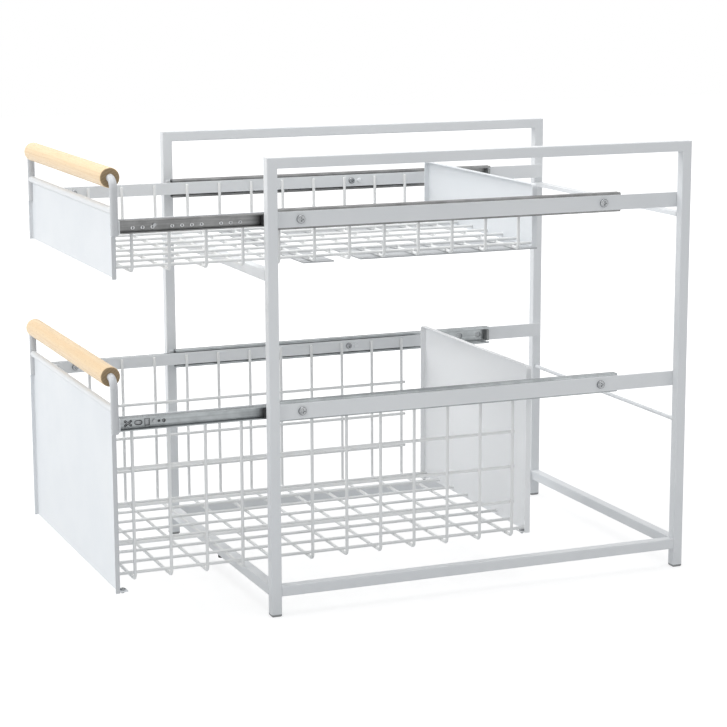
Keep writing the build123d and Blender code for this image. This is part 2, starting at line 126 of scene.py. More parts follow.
def addRange(tree, value, low, high, toLow=0.0, toHigh=1.0):
    node = tree.nodes.new("ShaderNodeMapRange")
    node.interpolation_type = "SMOOTHSTEP"
    tree.links.new(value, node.inputs["Value"])
    for label, number in (("From Min", low), ("From Max", high), ("To Min", toLow), ("To Max", toHigh)):
        feed(tree, number, node.inputs[label])
    return node.outputs["Result"]


def buildDriftGroup():
    # slow change of tone over a surface, as a coating or plating has it
    group, given, out = startGroup(
        "toneDrift",
        [("Position", "NodeSocketVector", None), ("Size", "NodeSocketFloat", 12.0),
         ("Low", "NodeSocketFloat", 0.0), ("High", "NodeSocketFloat", 1.0)],
        [("Value", "NodeSocketFloat")],
    )
    lowNoise, highNoise = 0.32, 0.68
    wide = addNoise(group, given.outputs["Position"], given.outputs["Size"], detail=3.0, rough=0.55)
    tone = addRange(group, wide, lowNoise, highNoise, given.outputs["Low"], given.outputs["High"])
    group.links.new(tone, out.inputs[0])
    return group


def buildSkinGroup():
    # the fine pitted skin of a sprayed or moulded surface
    group, given, out = startGroup(
        "fineSkin",
        [("Position", "NodeSocketVector", None), ("Size", "NodeSocketFloat", 900.0)],
        [("Height", "NodeSocketFloat"), ("Pits", "NodeSocketFloat")],
    )
    finerBy, fineShare, pitFrom, pitTo = 2.7, 0.35, 0.25, 0.4
    coarse = addNoise(group, given.outputs["Position"], given.outputs["Size"], detail=1.0, rough=0.4)
    fineSize = addMath(group, "MULTIPLY", given.outputs["Size"], finerBy)
    fine = addNoise(group, given.outputs["Position"], fineSize, detail=1.0)
    height = addMath(group, "ADD", coarse, addMath(group, "MULTIPLY", fine, fineShare))
    group.links.new(height, out.inputs[0])
    group.links.new(addRange(group, fine, pitFrom, pitTo, 1.0, 0.0), out.inputs[1])
    return group


def buildLinesGroup():
    # fine lines left by rolling, drawing or growth, long in the direction of the small stretch
    group, given, out = startGroup(
        "runLines",
        [("Position", "NodeSocketVector", None), ("Stretch", "NodeSocketVector", (1.0, 1.0, 1.0)),
         ("Low", "NodeSocketFloat", 0.0), ("High", "NodeSocketFloat", 1.0)],
        [("Value", "NodeSocketFloat")],
    )
    scaled = group.nodes.new("ShaderNodeVectorMath")
    scaled.operation = "MULTIPLY"
    group.links.new(given.outputs["Position"], scaled.inputs[0])
    group.links.new(given.outputs["Stretch"], scaled.inputs[1])
    lowNoise, highNoise = 0.3, 0.7
    lines = addNoise(group, scaled.outputs[0], scale=1.0, detail=3.0, rough=0.65)
    tone = addRange(group, lines, lowNoise, highNoise, given.outputs["Low"], given.outputs["High"])
    group.links.new(tone, out.inputs[0])
    return group


toneDrift, fineSkin, runLines = buildDriftGroup(), buildSkinGroup(), buildLinesGroup()


def startMaterial(name, base):
    material = bpy.data.materials.new(name)
    material.use_nodes = True
    material.diffuse_color = (*base, 1.0)
    tree = material.node_tree
    shader = tree.nodes["Principled BSDF"]
    position = tree.nodes.new("ShaderNodeTexCoord").outputs["Object"]
    return material, tree, shader, position


def placeGroup(tree, group, position, **values):
    node = tree.nodes.new("ShaderNodeGroup")
    node.node_tree = group
    tree.links.new(position, node.inputs["Position"])
    for label, value in values.items():
        node.inputs[label].default_value = value
    return node


def addBump(tree, shader, height, detail):
    bump = tree.nodes.new("ShaderNodeBump")
    bump.inputs["Strength"].default_value = detail["strength"]
    bump.inputs["Distance"].default_value = detail["depth"]
    tree.links.new(height, bump.inputs["Height"])
    tree.links.new(bump.outputs["Normal"], shader.inputs["Normal"])


def splitPosition(tree, position):
    parts = tree.nodes.new("ShaderNodeSeparateXYZ")
    tree.links.new(position, parts.inputs[0])
    return parts.outputs


coatFinish = {
    "frameWhite": {
        "base": (0.835, 0.850, 0.862), "shade": (0.800, 0.818, 0.834), "rough": (0.33, 0.43), "peel": 620.0,
    },
    "panelWhite": {
        "base": (0.815, 0.838, 0.858), "shade": (0.790, 0.816, 0.840), "rough": (0.36, 0.46), "peel": 540.0,
        # the rim tone below is painted shade on the folded side rims
        "rimFrom": 148.9 * mm, "rimTo": 149.6 * mm, "shadedRimTone": (0.66, 0.675, 0.69),
    },
    # painted light: a paler copy of the white coat for the lower rear panel
    "rearLitWhite": {
        "base": (0.970, 0.978, 0.985), "shade": (0.950, 0.960, 0.970), "rough": (0.36, 0.46), "peel": 540.0,
    },
    # painted shade: a darker copy of the white coat for the handle tubes
    "tubeShadedWhite": {
        "base": (0.650, 0.662, 0.675), "shade": (0.610, 0.622, 0.638), "rough": (0.26, 0.36), "peel": 700.0,
    },
    # painted shade: a grey copy of the white coat for the upper floor strips
    "stripShadedGrey": {
        "base": (0.500, 0.512, 0.524), "shade": (0.460, 0.474, 0.488), "rough": (0.36, 0.46), "peel": 540.0,
    },
    "wireWhite": {
        "base": (0.905, 0.910, 0.905), "shade": (0.865, 0.872, 0.868), "rough": (0.30, 0.40), "peel": 800.0,
    },
}
coatDetail = {
    "drift": 9.0, "sheen": 55.0, "pitShare": 0.05, "pitTone": (0.55, 0.56, 0.57), "specular": 0.45,
    "strength": 0.22, "depth": 0.06 * mm,
}


def buildCoat(name, finish):
    # white powder coat: even colour with a slow drift, orange peel, and a few fine pits
    material, tree, shader, position = startMaterial(name, finish["base"])
    drift = placeGroup(tree, toneDrift, position, Size=coatDetail["drift"])
    skin = placeGroup(tree, fineSkin, position, Size=finish["peel"])
    tone = addMix(tree, drift.outputs[0], finish["base"], finish["shade"])
    if "shadedRimTone" in finish:
        # painted shade: the folded side rims are drawn in a greyer tone than the face
        fromMiddle = addMath(tree, "ABSOLUTE", splitPosition(tree, position)["X"])
        inShadedRim = addRange(tree, fromMiddle, finish["rimFrom"], finish["rimTo"])
        tone = addMix(tree, inShadedRim, tone, finish["shadedRimTone"])
    pits = addMath(tree, "MULTIPLY", skin.outputs["Pits"], coatDetail["pitShare"])
    tree.links.new(addMix(tree, pits, tone, coatDetail["pitTone"]), shader.inputs["Base Color"])
    low, high = finish["rough"]
    sheen = placeGroup(tree, toneDrift, position, Size=coatDetail["sheen"], Low=low, High=high)
    tree.links.new(sheen.outputs[0], shader.inputs["Roughness"])
    shader.inputs["Specular IOR Level"].default_value = coatDetail["specular"]
    addBump(tree, shader, skin.outputs["Height"], coatDetail)
    return material


zincFinish = {
    # the first zinc is a darker copy of the second, painted shade for the upper slides
    "slideShadedZinc": {"base": (0.21, 0.212, 0.212), "light": (0.29, 0.293, 0.293), "line": (0.12, 0.12, 0.122)},
    "slideZinc": {"base": (0.33, 0.352, 0.36), "light": (0.43, 0.455, 0.465), "line": (0.22, 0.23, 0.237)},
}
zincDetail = {
    "rough": (0.30, 0.46), "stretch": (700.0, 9.0, 700.0), "clouds": 70.0, "lineShare": 0.35,
    "strength": 0.25, "depth": 0.04 * mm,
}


def buildZinc(name, finish):
    # zinc plated rolled steel: lines along the slide, cloudy tone, slightly uneven gloss
    material, tree, shader, position = startMaterial(name, finish["base"])
    lines = placeGroup(tree, runLines, position, Stretch=zincDetail["stretch"])
    clouds = placeGroup(tree, toneDrift, position, Size=zincDetail["clouds"])
    tone = addMix(tree, clouds.outputs[0], finish["base"], finish["light"])
    streaks = addMath(tree, "MULTIPLY", lines.outputs[0], zincDetail["lineShare"])
    tree.links.new(addMix(tree, streaks, tone, finish["line"]), shader.inputs["Base Color"])
    low, high = zincDetail["rough"]
    gloss = placeGroup(tree, runLines, position, Stretch=zincDetail["stretch"], Low=low, High=high)
    tree.links.new(gloss.outputs[0], shader.inputs["Roughness"])
    shader.inputs["Metallic"].default_value = 1.0
    addBump(tree, shader, lines.outputs[0], zincDetail)
    return material


platingFinish = {
    "screwChrome": {"base": (0.38, 0.39, 0.40), "shade": (0.26, 0.27, 0.28), "rough": (0.10, 0.20)},
    # painted light: bright rings round the upper drawer members' small holes
    "holeLitZinc": {"base": (0.86, 0.87, 0.88), "shade": (0.76, 0.77, 0.785), "rough": (0.30, 0.44)},
    # painted shade: dark rings round the lower drawer members' cut-outs
    "holeShadeDark": {"base": (0.070, 0.071, 0.074), "shade": (0.045, 0.046, 0.048), "rough": (0.34, 0.50)},
}
platingDetail = {"haze": 420.0, "clouds": 160.0}


def buildPlating(name, finish):
    # polished or satin plating with a faint haze
    material, tree, shader, position = startMaterial(name, finish["base"])
    low, high = finish["rough"]
    haze = placeGroup(tree, toneDrift, position, Size=platingDetail["haze"], Low=low, High=high)
    clouds = placeGroup(tree, toneDrift, position, Size=platingDetail["clouds"])
    tone = addMix(tree, clouds.outputs[0], finish["base"], finish["shade"])
    tree.links.new(tone, shader.inputs["Base Color"])
    tree.links.new(haze.outputs[0], shader.inputs["Roughness"])
    shader.inputs["Metallic"].default_value = 1.0
    return material


plasticFinish = {
    "blackPlastic": {"base": (0.022, 0.022, 0.024), "worn": (0.05, 0.05, 0.053)},
    "greyPlastic": {"base": (0.30, 0.31, 0.31), "worn": (0.37, 0.38, 0.38)},
}
plasticDetail = {
    "rough": (0.42, 0.60), "drift": 180.0, "skin": 1500.0, "gloss": 260.0,
    "strength": 0.35, "depth": 0.08 * mm,
}


def buildPlastic(name, finish):
    # moulded plastic with a fine matt texture
    material, tree, shader, position = startMaterial(name, finish["base"])
    drift = placeGroup(tree, toneDrift, position, Size=plasticDetail["drift"])
    skin = placeGroup(tree, fineSkin, position, Size=plasticDetail["skin"])
    tone = addMix(tree, drift.outputs[0], finish["base"], finish["worn"])
    tree.links.new(tone, shader.inputs["Base Color"])
    low, high = plasticDetail["rough"]
    gloss = placeGroup(tree, toneDrift, position, Size=plasticDetail["gloss"], Low=low, High=high)
    tree.links.new(gloss.outputs[0], shader.inputs["Roughness"])
    addBump(tree, shader, skin.outputs["Height"], plasticDetail)
    return material


woodFinish = {
    "pale": (0.885, 0.668, 0.402), "warm": (0.785, 0.530, 0.275), "fleck": (0.56, 0.34, 0.17),
    "endPale": (0.345, 0.245, 0.130), "endDark": (0.245, 0.165, 0.080),
    "endFrom": 137.6 * mm, "endTo": 138.3 * mm,
    "pith": (("Y", -45 * mm), ("Z", -60 * mm)), "ringWidth": 2.4 * mm,
    "sway": (7.0, 45.0, 45.0), "swayReach": 1.6 * mm, "lateFrom": 0.45, "lateTo": 0.98, "lateShare": 0.42,
    "pores": (26.0, 1500.0, 1500.0), "poreShare": 0.22,
    "flecks": (190.0, 1700.0, 1700.0), "fleckFrom": 0.74, "fleckTo": 0.95, "fleckShare": 0.38,
    "rough": (0.36, 0.54), "lacquer": 0.25, "lacquerRough": 0.25, "strength": 0.3, "depth": 0.06 * mm,
}


def buildWood(name, finish):
    # beech: growth rings round a far pith, long pores, short dark flecks, darker end grain
    material, tree, shader, position = startMaterial(name, finish["pale"])
    parts = splitPosition(tree, position)
    reach = finish["swayReach"]
    sway = placeGroup(tree, runLines, position, Stretch=finish["sway"], Low=-reach, High=reach)
    fromPith = [
        addMath(tree, "ADD", addMath(tree, "SUBTRACT", parts[axis], place), sway.outputs[0])
        for axis, place in finish["pith"]
    ]
    squares = [addMath(tree, "MULTIPLY", value, value) for value in fromPith]
    radius = addMath(tree, "SQRT", addMath(tree, "ADD", squares[0], squares[1]))
    rings = addMath(tree, "FRACT", addMath(tree, "DIVIDE", radius, finish["ringWidth"]))
    late = addRange(tree, rings, finish["lateFrom"], finish["lateTo"])
    pores = placeGroup(tree, runLines, position, Stretch=finish["pores"]).outputs[0]
    flecks = placeGroup(tree, runLines, position, Stretch=finish["flecks"]).outputs[0]
    spots = addRange(tree, flecks, finish["fleckFrom"], finish["fleckTo"])
    tone = addMix(tree, addMath(tree, "MULTIPLY", late, finish["lateShare"]), finish["pale"], finish["warm"])
    tone = addMix(tree, addMath(tree, "MULTIPLY", pores, finish["poreShare"]), tone, finish["warm"])
    tone = addMix(tree, addMath(tree, "MULTIPLY", spots, finish["fleckShare"]), tone, finish["fleck"])
    ends = addMix(tree, rings, finish["endPale"], finish["endDark"])
    atEnd = addRange(tree, addMath(tree, "ABSOLUTE", parts["X"]), finish["endFrom"], finish["endTo"])
    tree.links.new(addMix(tree, atEnd, tone, ends), shader.inputs["Base Color"])
    tree.links.new(addRange(tree, pores, 0.0, 1.0, *finish["rough"]), shader.inputs["Roughness"])
    shader.inputs["Coat Weight"].default_value = finish["lacquer"]
    shader.inputs["Coat Roughness"].default_value = finish["lacquerRough"]
    addBump(tree, shader, addMath(tree, "SUBTRACT", pores, spots), finish)
    return material


coats = {name: buildCoat(name, finish) for name, finish in coatFinish.items()}
zincs = {name: buildZinc(name, finish) for name, finish in zincFinish.items()}
platings = {name: buildPlating(name, finish) for name, finish in platingFinish.items()}
plastics = {name: buildPlastic(name, finish) for name, finish in plasticFinish.items()}
wood = buildWood("beech", woodFinish)
print("finishes built")


# surfaces worked out with numpy; a part is its points and blocks of faces of one size
def gridFaces(rows, columns, wrapRows=False, wrapColumns=False):
    # quads between neighbours of a grid, closed on itself where wrapped
    rowStarts = np.arange(rows if wrapRows else rows - 1)
    columnStarts = np.arange(columns if wrapColumns else columns - 1)
    row, column = np.meshgrid(rowStarts, columnStarts, indexing="ij")
    nextRow, nextColumn = (row + 1) % rows, (column + 1) % columns
    corners = [(row, column), (row, nextColumn), (nextRow, nextColumn), (nextRow, column)]
    return np.stack([across * columns + along for across, along in corners], axis=-1).reshape(-1, 4)


def stackFaces(rings, around):
    # the skin of a stack of closed rings, with its two end rings filled
    first, last = np.arange(around)[None, :], np.arange((rings - 1) * around, rings * around)[None, :]
    return [gridFaces(rings, around, wrapColumns=True), first[:, ::-1], last]


def turnFaces(blocks):
    return [block[:, ::-1] for block in blocks]


def fullTurn(around):
    return np.linspace(0, 2 * math.pi, around, endpoint=False)


def roundedPath(corners, radius, steps=8):
    # straight runs joined by arcs: each inner corner is cut back by radius * tan(half its turn)
    corners = np.asarray(corners, dtype=float)
    pieces = [corners[:1]]
    for before, corner, after in zip(corners, corners[1:], corners[2:]):
        inward, outward = before - corner, after - corner
        inward, outward = inward / np.linalg.norm(inward), outward / np.linalg.norm(outward)
        half = math.acos(np.clip(np.dot(inward, outward), -1, 1)) / 2
        middle = corner + (inward + outward) / np.linalg.norm(inward + outward) * radius / math.sin(half)
        start = corner + inward * radius / math.tan(half) - middle
        end = corner + outward * radius / math.tan(half) - middle
        turn = math.pi - 2 * half
        share = np.linspace(0, 1, steps + 1)[:, None]
        arc = (np.sin((1 - share) * turn) * start + np.sin(share * turn) * end) / math.sin(turn)
        pieces.append(middle + arc)
    pieces.append(corners[-1:])
    return np.concatenate(pieces)


def tubePart(path, radius, across, around=16, edge=0.0):
    # a circle carried along a flat path: point = path + radius * (cos a * outward + sin a * across),
    # outward = direction x across; both ends are closed, and rounded over by edge
    path, across = np.asarray(path, dtype=float), np.asarray(across, dtype=float)
    radii = np.full(len(path), float(radius))
    if edge:
        turn = np.radians([0, 30, 60, 90])
        along, grow = edge * (1 - np.cos(turn)), radius - edge + edge * np.sin(turn)
        first, last = path[1] - path[0], path[-2] - path[-1]
        first, last = first / np.linalg.norm(first), last / np.linalg.norm(last)
        head = path[0] + along[:, None] * first
        tail = (path[-1] + along[:, None] * last)[::-1]
        path = np.concatenate([head, path[1:-1], tail])
        radii = np.concatenate([grow, radii[1:-1], grow[::-1]])
    direction = np.gradient(path, axis=0)
    direction /= np.linalg.norm(direction, axis=1, keepdims=True)
    outward = np.cross(direction, across)
    angle = fullTurn(around)
    ring = np.cos(angle)[None, :, None] * outward[:, None, :] + np.sin(angle)[None, :, None] * across
    points = path[:, None, :] + radii[:, None, None] * ring
    return points.reshape(-1, 3), stackFaces(len(path), around)


def rodPart(start, end, radius, across, around):
    start, end = np.asarray(start, dtype=float), np.asarray(end, dtype=float)
    return tubePart([start, (start + end) / 2, end], radius, across, around)


def repeatPart(part, offsets):
    # the same part at each offset
    points, blocks = part
    offsets = np.asarray(offsets, dtype=float).reshape(-1, 3)
    shift = (np.arange(len(offsets)) * len(points))[:, None, None]
    return (
        (points[None] + offsets[:, None]).reshape(-1, 3),
        [(block[None] + shift).reshape(-1, block.shape[1]) for block in blocks],
    )


def onSide(parts, sign):
    # parts made for +x, or seen in the plane x = 0 with their faces turned so that they still point outwards
    return parts if sign > 0 else [(points * (-1, 1, 1), turnFaces(blocks)) for points, blocks in parts]


def makePiece(name, partList, material, body, nodes, smooth=40.0):
    starts = np.cumsum([0] + [len(points) for points, blocks in partList])
    faces = []
    for start, (points, blocks) in zip(starts, partList):
        for block in blocks:
            faces += (block + start).tolist()
    mesh = bpy.data.meshes.new(name)
    mesh.from_pydata(np.concatenate([points for points, blocks in partList]).tolist(), [], faces)
    mesh.polygons.foreach_set("use_smooth", np.ones(len(mesh.polygons), dtype=bool))
    mesh.set_sharp_from_angle(angle=math.radians(smooth))
    mesh.materials.append(material)
    mesh.validate()
    mesh.update()
    piece = bpy.data.objects.new(name, mesh)
    bpy.context.scene.collection.objects.link(piece)
    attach(piece, body)
    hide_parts(*nodes)
    return piece


sheetEdge = {"segments": 2, "sharpFrom": 50}


def finishSheet(piece, thickness, edge):
    solid = piece.modifiers.new("thickness", "SOLIDIFY")
    solid.thickness = thickness
    solid.offset = 0.0
    bevel = piece.modifiers.new("edges", "BEVEL")
    bevel.width = edge
    bevel.segments = sheetEdge["segments"]
    bevel.limit_method = "ANGLE"
    bevel.angle_limit = math.radians(sheetEdge["sharpFrom"])
    bevel.harden_normals = True


# round wooden grips
gripShape = {"rounding": 1.6 * mm, "bore": 3.55 * mm, "around": 72, "edgeSteps": 7, "alongSteps": 12}


def buildGrip(tier):
    # a closed outline of distance along the axis and radius, turned about the grip's axis
    low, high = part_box(f"{tier}_grip")
    half, radius = high[0], (high[2] - low[2]) / 2
    middleY, middleZ = (low[1] + high[1]) / 2, (low[2] + high[2]) / 2
    turn = np.linspace(0, math.pi / 2, gripShape["edgeSteps"])
    edge, bore = gripShape["rounding"], gripShape["bore"]
    alongEdge, radiusEdge = half - edge + edge * np.sin(turn), radius - edge + edge * np.cos(turn)
    spread = np.linspace(-(half - 2 * edge), half - 2 * edge, gripShape["alongSteps"])
    along = np.concatenate([[-half], -alongEdge[::-1], spread, alongEdge, [half]])
    radii = np.concatenate([[bore], radiusEdge[::-1], np.full(len(spread), radius), radiusEdge, [bore]])
    angle = fullTurn(gripShape["around"])
    points = np.stack(
        [
            np.repeat(along[:, None], len(angle), axis=1),
            middleY + radii[:, None] * np.cos(angle),
            middleZ + radii[:, None] * np.sin(angle),
        ],
        axis=-1,
    )
    faces = gridFaces(len(along), len(angle), wrapRows=True, wrapColumns=True)
    part = (points.reshape(-1, 3), turnFaces([faces]))
    makePiece(f"{tier}GripWood", [part], wood, tiers[tier]["body"], [f"{tier}_grip"])


# bent tubes that carry the grips, and the cross tubes between their legs
handleShape = {
    "radius": handleRadius, "bend": 10 * mm, "bendSteps": 12, "tipEdge": 0.7 * mm, "around": 28,
    "crossRadius": 3.25 * mm, "crossLift": 15 * mm, "crossInset": 1.2 * mm,
}


def buildHandle(tier):
    at, shape = tiers[tier], handleShape
    x, y, bottom, top = at["legX"], at["legY"], at["legBottom"], at["gripZ"]
    corners = [(x, y, bottom), (x, y, top), (-x, y, top), (-x, y, bottom)]
    path = roundedPath(corners, shape["bend"], shape["bendSteps"])
    loop = tubePart(path, shape["radius"], (0, 1, 0), shape["around"], shape["tipEdge"])
    node = f"{tier}_handle_tube"
    # the handle loop takes the darker copy of the white coat, painted shade
    makePiece(f"{tier}HandleLoop", [loop], coats["tubeShadedWhite"], at["body"], [node])
    crossZ, reach = at["slideZ"] + shape["crossLift"], x - shape["crossInset"]
    bar = rodPart((-reach, y, crossZ), (reach, y, crossZ), shape["crossRadius"], (0, 1, 0), shape["around"])
    node = f"{tier}_cross_tube"
    makePiece(f"{tier}CrossBar", [bar], coats["frameWhite"], at["body"], [node])


# welded wires of each basket: U wires across, straight wires along
wireShape = {
    "radius": wireRadius, "bend": 4 * mm, "tipEdge": 0.5 * mm, "around": 14,
    "first": 19.2 * mm, "pitch": 34.2 * mm, "count": 12, "longPitch": 34.6 * mm, "longCount": 8,
    "sink": 0.4 * mm, "endGap": 1 * mm, "runEnd": 3 * mm,
    "runs": {"upper": (), "lower": (33 * mm, 67.5 * mm, 102 * mm)},
    "weldLong": 2.3 * mm, "weldRadius": 1.5 * mm, "weldRings": 6, "weldAround": 8, "weldPole": 0.18,
}


def weldParts(spots, axis):
    # at each spot a small ball drawn out along one axis, for the melted metal where two wires cross
    shape = wireShape
    rise = np.linspace(shape["weldPole"], math.pi - shape["weldPole"], shape["weldRings"])[:, None]
    angle = fullTurn(shape["weldAround"])[None, :]
    ball = np.stack(
        [np.sin(rise) * np.cos(angle), np.sin(rise) * np.sin(angle), np.cos(rise) + 0 * angle], axis=-1
    )
    size = np.full(3, shape["weldRadius"])
    size[axis] = shape["weldLong"]
    faces = turnFaces(stackFaces(shape["weldRings"], shape["weldAround"]))
    return repeatPart(((ball * size).reshape(-1, 3), faces), spots)


def buildWires(tier):
    at, shape = tiers[tier], wireShape
    x, floorZ, y, top = at["wireX"], at["floorZ"], at["legY"], at["wireTop"]
    radius, around = shape["radius"], shape["around"]
    rows = y + shape["first"] + shape["pitch"] * np.arange(shape["count"])
    lanes = (np.arange(shape["longCount"]) - (shape["longCount"] - 1) / 2) * shape["longPitch"]
    corners = [(x, 0, top), (x, 0, floorZ), (-x, 0, floorZ), (-x, 0, top)]
    hoop = tubePart(roundedPath(corners, shape["bend"]), radius, (0, 1, 0), around, shape["tipEdge"])
    hoops = repeatPart(hoop, np.stack([0 * rows, rows, 0 * rows], axis=-1))
    crossing = 2 * radius - shape["sink"]
    front, rear = y + shape["endGap"], at["rearY"] - shape["endGap"]
    lane = rodPart((0, front, 0), (0, rear, 0), radius, (1, 0, 0), around)
    floorLanes = repeatPart(lane, np.stack([lanes, 0 * lanes, 0 * lanes + floorZ + crossing], axis=-1))
    weldX, weldY = np.meshgrid(lanes, rows)
    weldZ = np.full(weldX.size, floorZ + crossing / 2)
    parts = [hoops, floorLanes, weldParts(np.stack([weldX.ravel(), weldY.ravel(), weldZ], axis=-1), 0)]
    run = rodPart((0, front, 0), (0, rows[-1] + shape["runEnd"], 0), radius, (1, 0, 0), around)
    for lift in shape["runs"][tier]:
        for side in (1, -1):
            parts.append(repeatPart(run, [(side * (x - crossing), 0, floorZ + lift)]))
            sideX = 0 * rows + side * (x - crossing / 2)
            parts.append(weldParts(np.stack([sideX, rows, 0 * rows + floorZ + lift], axis=-1), 2))
    nodes = [f"{tier}_floor_wires", f"{tier}_left_side_wires", f"{tier}_right_side_wires"]
    makePiece(f"{tier}BasketWires", parts, coats["wireWhite"], at["body"], nodes)


# folded panels
panelShape = {
    "sheet": 1 * mm, "bend": 1.4 * mm, "half": 150 * mm, "rim": 4.5 * mm, "neckHalf": 144.9 * mm,
    "neckLap": 2 * mm, "shoulderDrop": 0.1 * mm, "edge": 0.25 * mm,
    "rearRim": 6 * mm, "rearCorner": 4 * mm, "cornerSteps": 10, "rearBend": 1.2 * mm, "foldSteps": 6,
    "tabWidth": 10 * mm, "tabDepth": 8 * mm, "tabInset": 2 * mm,
}


def rectangle(halfLength, halfWidth):
    return np.array([(-1, -1), (1, -1), (1, 1), (-1, 1)]) * (halfLength, halfWidth)


def sweepSheet(path, low, high, axis=2):
    # a flat path carried straight along one axis, as a sheet with no thickness
    points = np.stack([path, path])
    points[0, :, axis], points[1, :, axis] = low, high
    return points.reshape(-1, 3), [gridFaces(2, len(path))]


def tabParts(half, middleY, z):
    # two flat tabs near the bottom corners of a panel, one for each small screw
    halfWidth, halfDepth = panelShape["tabWidth"] / 2, panelShape["tabDepth"] / 2
    reach = half - panelShape["sheet"] - panelShape["tabInset"] - halfWidth
    outline = rectangle(halfWidth, halfDepth)
    tab = np.column_stack([outline, np.full(len(outline), z)]), [np.arange(len(outline))[None, :]]
    return repeatPart(tab, [(side * reach, middleY, 0) for side in (-1, 1)])


def buildFrontPanel(tier):
    at, shape = tiers[tier], panelShape
    y, thick = at["legY"], shape["sheet"]
    half, face, tip = shape["half"] - thick / 2, y + thick / 2, y + thick - shape["rim"]
    path = roundedPath([(half, tip, 0), (half, face, 0), (-half, face, 0), (-half, tip, 0)], shape["bend"])
    shoulder = at["legBottom"] - shape["shoulderDrop"]
    neck = np.array([(shape["neckHalf"], face, 0), (-shape["neckHalf"], face, 0)])
    parts = [
        sweepSheet(path, at["panelBottom"], shoulder),
        sweepSheet(neck, shoulder - shape["neckLap"], at["panelTop"]),
    ]
    if tier == "lower":
        tabY = y + thick + shape["tabDepth"] / 2
        parts.append(tabParts(shape["half"], tabY, at["panelBottom"] + thick / 2))
    node = f"{tier}_front_panel"
    panel = makePiece(f"{tier}FrontSheet", parts, coats["panelWhite"], at["body"], [node])
    finishSheet(panel, thick, shape["edge"])


def buildRearPanel(tier):
    at, shape = tiers[tier], panelShape
    thick, bend = shape["sheet"], shape["rearBend"]
    half, bottom, top = at["rearHalf"] - thick / 2, at["rearBottom"], at["rearTop"] - thick / 2
    faceY, tipY = at["rearY"] - thick / 2, at["rearY"] - shape["rearRim"]
    # the outline runs up one side, over the top and down the other; inset moves it inwards
    turn = np.linspace(0, math.pi / 2, shape["foldSteps"])
    insets = np.concatenate([bend * (1 - np.sin(turn)), [0.0]])
    depths = np.concatenate([faceY - bend * (1 - np.cos(turn)), [tipY]])
    rings = []
    for inset, y in zip(insets, depths):
        reach, z = half - inset, top - inset
        corners = [(reach, y, bottom), (reach, y, z), (-reach, y, z), (-reach, y, bottom)]
        rings.append(roundedPath(corners, shape["rearCorner"] - thick / 2 - inset, shape["cornerSteps"]))
    points = np.stack(rings)
    count = points.shape[1]
    parts = [(points.reshape(-1, 3), [gridFaces(len(rings), count), np.arange(count)[None, ::-1]])]
    if tier == "lower":
        tabY = faceY - thick / 2 - shape["tabDepth"] / 2
        parts.append(tabParts(at["rearHalf"], tabY, bottom + thick / 2))
    # painted light: the lower rear panel has a paler copy of the white coat, chosen for the look of the
    # photo
    coat = coats["panelWhite" if tier == "upper" else "rearLitWhite"]
    panel = makePiece(f"{tier}RearSheet", parts, coat, at["body"], [f"{tier}_rear_panel"])
    finishSheet(panel, thick, shape["edge"])


# flat straps that join the wires to the slides, with the bent ear behind the handle leg
strapShape = {
    "sheet": 1.5 * mm, "half": 6 * mm, "bend": 2.2 * mm, "lift": 0.5 * mm, "edge": 0.3 * mm,
    "runSteps": 8, "runReach": 12 * mm,
    "knobRadius": 2.5 * mm, "knobHeight": 2 * mm, "knobY": 344 * mm, "knobTip": 0.02 * mm, "knobPower": 0.8,
    "knobRings": 7, "knobAround": 24,
}


def buildStrap(tier, side, sign):
    at, shape = tiers[tier], strapShape
    node, label = f"{tier}_{side}_strap", f"{tier}{side.capitalize()}"
    low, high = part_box(f"{tier}_{side}_strap")
    thick, middleZ = shape["sheet"], at["slideZ"] + shape["lift"]
    earY, rear = low[1] + thick / 2, high[1]
    knobFace, outer = sorted((abs(low[0]), abs(high[0])))
    knobRoot = knobFace + shape["knobHeight"]
    inner = knobRoot + thick / 2
    path = roundedPath([(outer, earY, 0), (inner, earY, 0), (inner, rear, 0)], shape["bend"])
    # a few more points on the flat run, just behind the bend
    share = np.linspace(0, 1, shape["runSteps"])[1:-1, None]
    run = path[-2] + share * ((inner, earY + shape["runReach"], 0) - path[-2])
    path = np.concatenate([path[:-1], run, path[-1:]])
    flat = onSide([sweepSheet(path, middleZ - shape["half"], middleZ + shape["half"])], sign)
    strap = makePiece(f"{label}Strap", flat, coats["frameWhite"], at["body"], [node])
    finishSheet(strap, thick, shape["edge"])
    # the knob is a low dome: its radius follows a cosine and its height a power of the sine
    turn, angle = np.linspace(0, math.pi / 2, shape["knobRings"]), fullTurn(shape["knobAround"])
    radii = shape["knobRadius"] * np.cos(turn) + shape["knobTip"]
    height = shape["knobHeight"] * np.sin(turn) ** shape["knobPower"]
    points = np.stack(
        [
            np.repeat((knobRoot - height)[:, None], len(angle), axis=1),
            at["legY"] + shape["knobY"] + radii[:, None] * np.cos(angle),
            middleZ + radii[:, None] * np.sin(angle),
        ],
        axis=-1,
    )
    dome = (points.reshape(-1, 3), turnFaces(stackFaces(len(turn), len(angle))))
    knob = onSide([dome], sign)
    makePiece(f"{label}Knob", knob, coats["frameWhite"], at["body"], [node])


